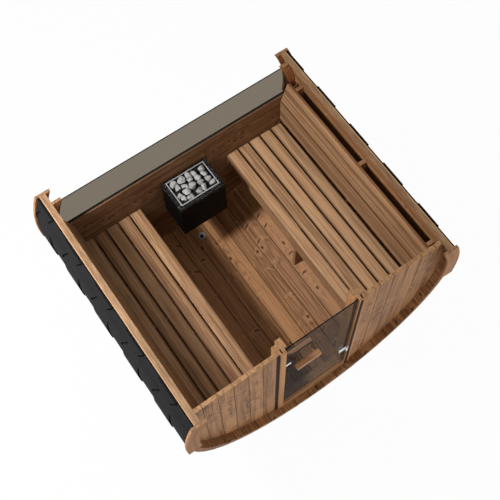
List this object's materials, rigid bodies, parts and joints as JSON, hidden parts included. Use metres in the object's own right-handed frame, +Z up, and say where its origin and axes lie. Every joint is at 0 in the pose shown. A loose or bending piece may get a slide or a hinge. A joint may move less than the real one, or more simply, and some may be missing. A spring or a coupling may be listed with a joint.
{
  "type": "cutaway barrel sauna",
  "caption": "Lying barrel sauna cut level above its axis: staved shell on cradles, slatted benches with backrests, wall heater with stones, rear window and a hinged smoked-glass door.",
  "frame": {"origin": "ground level under the middle of the barrel", "axes": "+X to the right seen from the door, +Y from the door to the rear window, +Z up"},
  "size_m": [2.202, 1.8926, 1.531],
  "materials": {
    "stave_wood": "planed heat-treated softwood",
    "shingle": "mineral-coated bitumen",
    "trim_wood": "planed softwood",
    "wall_wood": "planed heat-treated softwood",
    "frame_wood": "planed softwood",
    "bench_wood": "sanded softwood",
    "cradle_wood": "rough-sawn timber",
    "smoked_glass": "smoked toughened glass",
    "window_glass": "grey toughened glass",
    "seal": "black sealing strip",
    "chrome": "polished",
    "heater_black": "matt black enamel",
    "rim_steel": "brushed",
    "stone": "split grey stones"
  },
  "bodies": {
    "sauna": {"staves_bottom": "stave_wood", "staves_left_1": "stave_wood", "staves_left_2": "stave_wood", "staves_left_3": "stave_wood", "staves_left_4": "stave_wood", "staves_left_5": "stave_wood", "staves_right_1": "stave_wood", "staves_right_2": "stave_wood", "staves_right_3": "stave_wood", "staves_right_4": "stave_wood", "staves_right_5": "stave_wood", "shingles_left": "shingle", "shingles_right": "shingle", "end_ring_front": "trim_wood", "end_ring_back": "trim_wood", "front_wall_left": "wall_wood", "front_wall_right": "wall_wood", "door_post_left": "trim_wood", "door_post_right": "trim_wood", "door_seals": "seal", "threshold": "wall_wood", "hinge_base": "chrome", "back_wall": "wall_wood", "window_posts": "trim_wood", "window_glass": "window_glass", "window_seal": "seal", "bench_left": "bench_wood", "bench_right": "bench_wood", "bench_frame_left": "frame_wood", "bench_frame_right": "frame_wood", "backrest_left": "bench_wood", "backrest_right": "bench_wood", "back_supports_left": "frame_wood", "back_supports_right": "frame_wood", "heater_body": "heater_black", "heater_rim": "rim_steel", "heater_stones": "stone", "heater_rails": "heater_black", "floor_drain": "rim_steel", "cradles": "cradle_wood"},
    "door": {"door_glass": "smoked_glass", "door_handle_outer": "bench_wood", "door_handle_inner": "bench_wood", "door_latch": "chrome", "door_hinge": "chrome"}
  },
  "joints": [
    {"name": "door_hinge", "type": "hinge", "parent": "sauna", "child": "door", "pos_m": [0.272, -0.874, 0.548], "axis": [0, 0, 1], "range_deg": [0, 100]}
  ]
}
